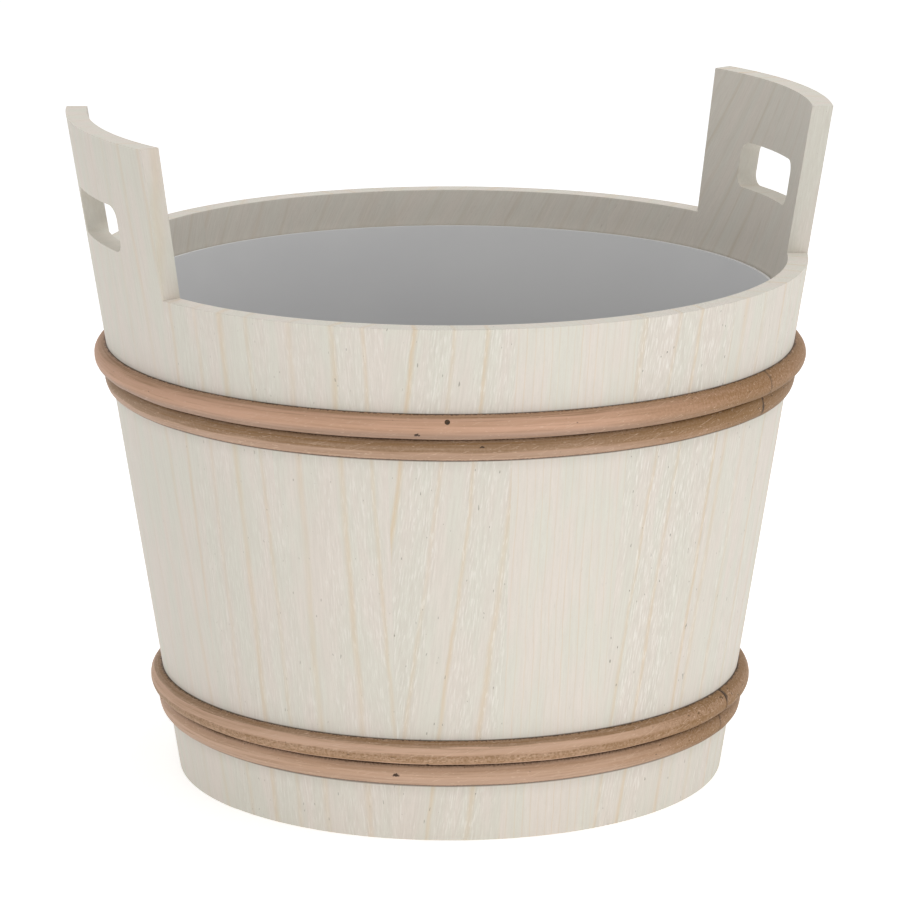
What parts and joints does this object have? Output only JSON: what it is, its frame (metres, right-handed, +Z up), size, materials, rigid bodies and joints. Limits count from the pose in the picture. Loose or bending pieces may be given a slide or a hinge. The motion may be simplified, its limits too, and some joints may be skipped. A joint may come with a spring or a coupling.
{
  "type": "sauna bucket",
  "caption": "Tapered wooden bucket of glued staves with cane hoops, slotted ears to lift it by and a loose grey liner that lifts out.",
  "frame": {"origin": "on the floor, on the bucket's own axis, level with the lower ends of the staves", "axes": "+Z up along the bucket's axis, +X through the middle of the right-hand ear, -Y towards the pictured side"},
  "size_m": [0.4042, 0.3796, 0.3581],
  "materials": {
    "aspen": "bare sanded aspen, matt",
    "split_cane": "bare peeled cane, satin",
    "grey_plastic": "moulded, satin",
    "dark_steel": "dull dark nail steel"
  },
  "bodies": {
    "bucket": {"right_ear_stave_front": "aspen", "right_ear_stave_back": "aspen", "left_ear_stave_front": "aspen", "left_ear_stave_back": "aspen", "stave_01": "aspen", "stave_02": "aspen", "stave_03": "aspen", "stave_04": "aspen", "stave_05": "aspen", "stave_06": "aspen", "stave_07": "aspen", "stave_08": "aspen", "stave_09": "aspen", "stave_10": "aspen", "stave_11": "aspen", "stave_12": "aspen", "stave_13": "aspen", "stave_14": "aspen", "bottom_board_1": "aspen", "bottom_board_2": "aspen", "bottom_board_3": "aspen", "bottom_board_4": "aspen", "upper_pair_top_hoop": "split_cane", "upper_pair_under_hoop": "split_cane", "lower_pair_top_hoop": "split_cane", "lower_pair_under_hoop": "split_cane", "upper_pair_top_hoop_nail_1": "dark_steel", "upper_pair_top_hoop_nail_2": "dark_steel", "upper_pair_under_hoop_nail_1": "dark_steel", "upper_pair_under_hoop_nail_2": "dark_steel", "lower_pair_top_hoop_nail_1": "dark_steel", "lower_pair_top_hoop_nail_2": "dark_steel", "lower_pair_under_hoop_nail_1": "dark_steel", "lower_pair_under_hoop_nail_2": "dark_steel"},
    "liner": {"liner": "grey_plastic"}
  },
  "joints": [
    {"name": "liner_lift", "type": "slide", "parent": "bucket", "child": "liner", "axis": [0, 0, 1], "range_m": [0, 0.36]}
  ]
}
